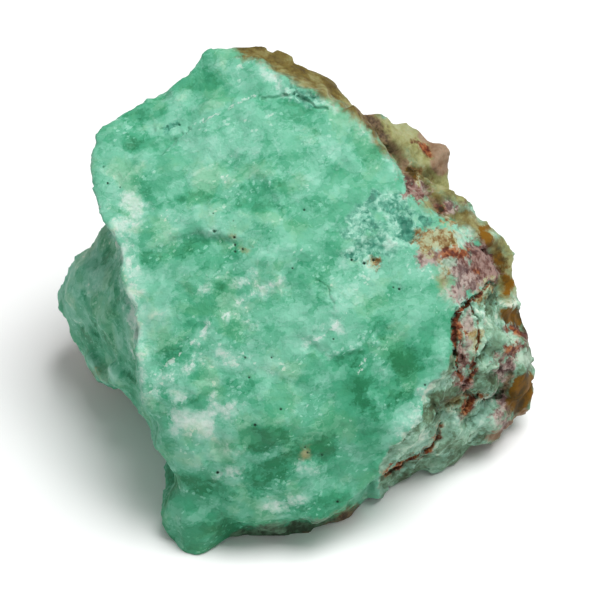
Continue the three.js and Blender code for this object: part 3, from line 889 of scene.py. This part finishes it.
stoneLook = {
    "streak": {"turn": math.radians(28), "stretch": (1.35, 1.0, 1.0)},
    # size, detail, roughness and distortion of plain noise, then where it starts and ends
    "streakNoises": {
        "broad": (7.0, 3.0, 0.55, 0.5, 0.35, 0.65),
        "blotch": (2.6, 5.0, 0.55, 0.3, 0.36, 0.64),
    },
    "noises": {
        "fleck": (0.8, 4.0, 0.6, 0.2, 0.36, 0.64),
        "grain": (0.25, 2.0, 0.6, 0.0, 0.3, 0.7),
        "warm": (5.5, 5.0, 0.6, 0.3, 0.5, 0.62),
    },
    "shake": (0.8, 0.35),  # size, amount
    "splinter": 0.24,
    "ragged": (1.5, 6.0, 0.62, 0.3),
    "small": {"shake": (0.45, 0.4), "size": 0.45},
    "flakes": (  # cell, size, level, width, weight
        (0.5, 4.2, 0.54, 0.012, 0.42), (0.3, 2.0, 0.58, 0.012, 0.36), (0.42, 5.0, 0.455, 0.012, -0.4),
        (0.26, 1.8, 0.42, 0.012, -0.34), (0.9, 3.0, 0.5, 0.12, 0.34),
    ),
    # painted glints: tiny bright specks laid into the green
    "paintedGlints": {"cells": (0.28, 0.1), "where": (0.5, 3.4, 0.56)},
    "veins": {"noise": (5.0, 5.0, 0.55), "edge": (0.01, 0.004), "where": (7.0, 0.52)},
    # painted highlight on the raised bits of the surface, painted shade in its hollows
    "rises": {"ridgeLight": (0.02, 0.22), "hollowShade": (-0.02, -0.25)},
    "zones": {  # how ragged and how soft the edge of each painted zone is
        "pale": (4.0, 0.3), "cream": (5.0, 0.9), "rind": (1.2, 0.15), "deep": (4.0, 0.35),
        "shade": (3.0, 2.0), "crust": (7.0, 0.7), "pitShade": (0.3, 0.08),
    },
    "chalk": {"level": 0.56, "ragged": 6.0, "edge": (-0.6, 1.1)},
    "scratch": {"edge": (1.8, 0.08), "where": (0.7, 0.48), "amount": 0.65},
    "gloss": (1.4, 0.2),
    # brown in the hollows of the rind: partly a real stain, partly painted shade
    "creviceStainAndShade": 0.4,
    "mixes": {  # what each tone starts from, then how much of each pattern it takes
        "green": {"start": 0.36, "broad": 0.09, "blotch": 0.03, "fleck": 0.02, "small": 0.02, "grain": 0.03,
                  "ridgeLight": 0.06, "hollowShade": -0.08, "flakes": 0.29, "veins": 0.13, "paintedGlints": 0.3,
                  "pale": 0.16, "deep": -0.18, "cream": 0.3, "shade": -0.24},
        "chalk": {"start": 0.3, "fleck": 0.45, "small": 0.2},
        "crust": {"start": 0.1, "blotch": 0.2, "fleck": 0.3, "small": 0.32, "hollowShade": -0.4, "ridgeLight": 0.2,
                  "flakes": 0.3},
        "sage": {"start": 0.1, "broad": 0.06, "blotch": 0.24, "fleck": 0.12, "small": 0.08, "grain": 0.03,
                 "ridgeLight": 0.26, "hollowShade": -0.22, "pale": 0.24, "cream": 0.4, "flakes": 0.36},
        "stain": {"start": 0.07, "blotch": 0.25, "fleck": 0.28, "small": 0.26, "grain": 0.08, "ridgeLight": 0.25,
                  "hollowShade": -0.4, "flakes": 0.1},
        "skin": {"start": 0.24, "broad": 0.2, "blotch": 0.18, "fleck": 0.12, "grain": 0.05, "ridgeLight": 0.06,
                 "hollowShade": -0.12},
        "glass": {"start": 0.2, "broad": 0.22, "blotch": 0.2, "fleck": 0.1, "grain": 0.04},
        "roughness": {"start": 0.48, "fleck": 0.12, "rind": 0.15, "gloss": 0.1},
        "height": {"start": 0.0, "fleck": 0.14, "grain": 0.07, "small": 0.07, "flakes": 0.6},
        "calm": {"start": 1.0, "rind": -0.6, "gloss": -0.3},
    },
    "stains": (  # in the order they are laid on: colour, tone, how ragged, how soft
        ("olive", "skin", 3.2, 0.7), ("yellow", "skin", 3.5, 0.8), ("tan", "skin", 2.0, 0.3),
        ("undersideShade", "stain", 2.5, 0.4), ("umber", "stain", 2.0, 0.4), ("bone", "stain", 4.0, 0.8),
        ("blush", "stain", 5.5, 0.5), ("plum", "stain", 5.5, 0.5), ("ochre", "stain", 6.5, 0.5),
        ("rust", "stain", 2.6, 0.3), ("amber", "glass", 2.6, 0.25), ("seam", "stain", 0.6, 0.08),
        ("teal", "stain", 5.0, 0.25),
    ),
    "shader": {
        "Specular IOR Level": 0.26,
        "Subsurface Weight": 0.12,
        "Subsurface Radius": (0.4, 1.0, 0.8),
        "Subsurface Scale": 0.0005,
    },
    "bump": {"Strength": 0.7, "Distance": 0.0003},
}

# each tone runs through the colours of its ramp, from dark to light
stoneColours = {
    "green": (
        (0.0, (0.014, 0.18, 0.075)),
        (0.22, (0.048, 0.315, 0.17)),
        (0.42, (0.128, 0.426, 0.278)),
        (0.6, (0.192, 0.498, 0.355)),
        (0.78, (0.275, 0.56, 0.43)),
        (1.0, (0.45, 0.63, 0.52)),
    ),
    "crust": (
        (0.1, (0.04, 0.23, 0.15)),
        (0.35, (0.13, 0.38, 0.27)),
        (0.55, (0.26, 0.54, 0.41)),
        (0.9, (0.45, 0.67, 0.56)),
    ),
    "rind": (
        (0.0, (0.05, 0.075, 0.035)),
        (0.25, (0.11, 0.205, 0.125)),
        (0.45, (0.19, 0.38, 0.28)),
        (0.68, (0.32, 0.54, 0.43)),
        (1.0, (0.56, 0.69, 0.6)),
    ),
    "olive": ((0.3, (0.062, 0.038, 0.005)), (0.48, (0.142, 0.106, 0.022)), (0.7, (0.27, 0.26, 0.11))),
    "yellow": ((0.3, (0.15, 0.126, 0.038)), (0.48, (0.262, 0.262, 0.1)), (0.7, (0.355, 0.372, 0.205))),
    # painted shade for the underside below the toe
    "undersideShade": ((0.3, (0.036, 0.068, 0.034)), (0.66, (0.1, 0.2, 0.12))),
    "umber": ((0.3, (0.045, 0.024, 0.01)), (0.66, (0.19, 0.125, 0.065))),
    "ochre": ((0.3, (0.15, 0.075, 0.015)), (0.46, (0.28, 0.2, 0.075)), (0.66, (0.38, 0.42, 0.25))),
    "bone": ((0.3, (0.22, 0.33, 0.23)), (0.66, (0.42, 0.55, 0.43))),
    "plum": ((0.3, (0.07, 0.024, 0.02)), (0.48, (0.165, 0.078, 0.06)), (0.66, (0.29, 0.19, 0.16))),
    "blush": ((0.3, (0.12, 0.066, 0.06)), (0.44, (0.245, 0.172, 0.148)), (0.64, (0.41, 0.335, 0.295))),
    "tan": ((0.3, (0.12, 0.052, 0.024)), (0.48, (0.225, 0.14, 0.078)), (0.7, (0.31, 0.22, 0.145))),
    "rust": ((0.32, (0.085, 0.014, 0.004)), (0.48, (0.185, 0.045, 0.012)), (0.68, (0.35, 0.14, 0.05))),
    "amber": ((0.28, (0.014, 0.008, 0.0)), (0.42, (0.058, 0.031, 0.0)), (0.62, (0.18, 0.078, 0.0))),
    "seam": ((0.3, (0.06, 0.014, 0.005)), (0.66, (0.22, 0.06, 0.018))),
    "teal": ((0.3, (0.025, 0.17, 0.11)), (0.66, (0.09, 0.35, 0.24))),
    "white": (0.57, 0.68, 0.62),
    # painted shade inside the pits
    "pitShade": (0.014, 0.05, 0.03),
    # brown for the rind's hollows, partly real stain and partly painted shade
    "creviceStainAndShade": (0.07, 0.05, 0.02),
    "warm": (1.1, 0.98, 0.9),
    "earthy": (1.09, 0.97, 0.9),
}


def stonePatterns(tree):
    look = stoneLook
    coords = addNode(tree, "TexCoord").outputs["Object"]
    slant = Matrix.Rotation(layout["lean"], 3, "X") @ Matrix.Rotation(look["streak"]["turn"], 3, "Z")
    streak = addNode(tree, "Mapping", {"Vector": coords, "Rotation": slant.to_euler("XYZ"),
                                       "Scale": look["streak"]["stretch"]}, vector_type="TEXTURE")
    streak = streak.outputs["Vector"]
    made = {}
    for place, noises in ((streak, look["streakNoises"]), (coords, look["noises"])):
        for name, (size, detail, rough, warp, low, high) in noises.items():
            made[name] = spread(tree, noiseOf(tree, place, size, detail, rough, warp), low, high)
    splinters = cellPlaces(tree, shake(tree, coords, *look["shake"]), look["splinter"])
    ragged = made["ragged"] = noiseOf(tree, splinters, *look["ragged"])
    small = shake(tree, coords, *look["small"]["shake"])
    made["small"] = cellColours(tree, small, look["small"]["size"]).outputs[0]
    shaken = shake(tree, streak, *look["shake"])
    flakes = [(chipped(tree, shaken, *chips), weight) for *chips, weight in look["flakes"]]
    made["flakes"] = weigh(tree, 0.0, *flakes)
    made["paintedGlints"] = maths(tree, "MULTIPLY", sparkle(tree, shaken, *look["paintedGlints"]["cells"]),
                           chipped(tree, shaken, *look["paintedGlints"]["where"]))
    waver = maths(tree, "SUBTRACT", noiseOf(tree, streak, *look["veins"]["noise"]), 0.5)
    veins = spread(tree, maths(tree, "ABSOLUTE", waver, 0.0), *look["veins"]["edge"])
    made["veins"] = maths(tree, "MULTIPLY", veins, crisp(tree, coords, *look["veins"]["where"]))
    # how far the surface stands proud or sunk gives painted highlight on ridges and painted shade in hollows
    rise = readZone(tree, "rise")
    for name, (low, high) in look["rises"].items():
        made[name] = spread(tree, rise, low, high)
    for name, (amount, soft) in look["zones"].items():
        made[name] = zone(tree, name, ragged, amount, soft)
    made["gloss"] = zone(tree, "amber", ragged, *look["gloss"])
    chalk = weigh(tree, readZone(tree, "cream"),
                  (maths(tree, "SUBTRACT", ragged, look["chalk"]["level"]), look["chalk"]["ragged"]))
    made["chalk"] = spread(tree, chalk, *look["chalk"]["edge"])
    scratch = maths(tree, "MULTIPLY", zone(tree, "scratch", ragged, *look["scratch"]["edge"]),
                    crisp(tree, coords, *look["scratch"]["where"]))
    made["scratch"] = maths(tree, "MULTIPLY", scratch, look["scratch"]["amount"])
    return made


def mixTones(tree, patterns):
    tones = {}
    for name, mix in stoneLook["mixes"].items():
        terms = [(patterns[part], weight) for part, weight in mix.items() if part != "start"]
        tones[name] = weigh(tree, mix["start"], *terms)
    return tones


def stoneColour(tree, patterns, tones):
    look = stoneColours
    colour = tint(tree, ramp(tree, tones["green"], look["green"]), look["warm"], patterns["warm"])
    chalk = maths(tree, "MULTIPLY", patterns["chalk"], tones["chalk"])
    colour = layer(tree, colour, look["white"], chalk)
    colour = layer(tree, colour, look["white"], patterns["scratch"])
    colour = layer(tree, colour, ramp(tree, tones["crust"], look["crust"]), patterns["crust"])
    rind = tint(tree, ramp(tree, tones["sage"], look["rind"]), look["earthy"], patterns["blotch"])
    # the hollows of the rind turn brown: partly real stain, partly painted shade
    creviceStainAndShadeMask = maths(tree, "MULTIPLY", patterns["hollowShade"], stoneLook["creviceStainAndShade"])
    rind = layer(tree, rind, look["creviceStainAndShade"], creviceStainAndShadeMask)
    colour = layer(tree, colour, rind, patterns["rind"])
    for name, tone, amount, soft in stoneLook["stains"]:
        stain = zone(tree, name, patterns["ragged"], amount, soft)
        colour = layer(tree, colour, ramp(tree, tones[tone], look[name]), stain)
    # the pits are painted near black, as the shade inside the holes
    return layer(tree, colour, look["pitShade"], patterns["pitShade"])


def chrysoprase():
    material = bpy.data.materials.new("chrysoprase")
    material.use_nodes = True
    tree = material.node_tree
    shader = tree.nodes["Principled BSDF"]
    patterns = stonePatterns(tree)
    tones = mixTones(tree, patterns)
    tree.links.new(stoneColour(tree, patterns, tones), shader.inputs["Base Color"])
    tree.links.new(tones["roughness"], shader.inputs["Roughness"])
    for name, value in stoneLook["shader"].items():
        shader.inputs[name].default_value = value
    height = maths(tree, "MULTIPLY", tones["height"], tones["calm"])
    bump = addNode(tree, "Bump", {"Height": height, **stoneLook["bump"]})
    tree.links.new(bump.outputs["Normal"], shader.inputs["Normal"])
    return material


stone.data.materials.clear()
stone.data.materials.append(chrysoprase())
stone.data.shade_smooth()
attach(stone, "root")
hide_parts("rough_stone")
print("stone finished")


# floor, light and camera

studio = {
    "floor": {"colour": (0.93, 0.93, 0.93), "rough": 0.9, "size": 3.0},
    "key": {"place": (0.14, -0.02, 0.55), "target": (0, 0, 0.02), "size": 0.3, "power": 3.4},
    "world": {"Color": (1, 1, 1, 1), "Strength": 0.36},
    "camera": {"lens": 200, "sensor_width": 36, "clip_start": 0.01},
}


def plainMaterial(name, colour, rough):
    material = bpy.data.materials.new(name)
    material.use_nodes = True
    shader = material.node_tree.nodes["Principled BSDF"]
    shader.inputs["Base Color"].default_value = (*colour, 1)
    shader.inputs["Roughness"].default_value = rough
    return material


def makeFloor():
    floor = studio["floor"]
    mesh = bpy.data.meshes.new("floor")
    with edited(mesh) as bm:
        bmesh.ops.create_grid(bm, x_segments=1, y_segments=1, size=floor["size"])
    mesh.materials.append(plainMaterial("floor_paper", floor["colour"], floor["rough"]))
    linkPiece("floor", mesh)


def aim(thing, target):
    thing.rotation_euler = (Vector(target) - thing.location).to_track_quat("-Z", "Y").to_euler()


def makeLights():
    key = studio["key"]
    lamp = bpy.data.lights.new("softbox", "AREA")
    lamp.shape = "SQUARE"
    lamp.size = key["size"]
    lamp.energy = key["power"]
    softbox = linkPiece("softbox", lamp)
    softbox.location = key["place"]
    aim(softbox, key["target"])
    world = bpy.data.worlds.new("studio")
    world.use_nodes = True
    for name, value in studio["world"].items():
        world.node_tree.nodes["Background"].inputs[name].default_value = value
    bpy.context.scene.world = world


def makeCamera():
    c, s = math.cos(layout["lean"]), math.sin(layout["lean"])
    middle = Vector(layout["middle"]) / 1000
    camera = linkPiece("camera", bpy.data.cameras.new("camera"))
    camera.location = middle + Vector((0, -s, c)) * (layout["seenFrom"] / 1000)
    aim(camera, middle)
    for name, value in studio["camera"].items():
        setattr(camera.data, name, value)
    bpy.context.scene.camera = camera


makeFloor()
makeLights()
makeCamera()
bpy.context.scene.view_settings.view_transform = "Standard"
print("studio set")
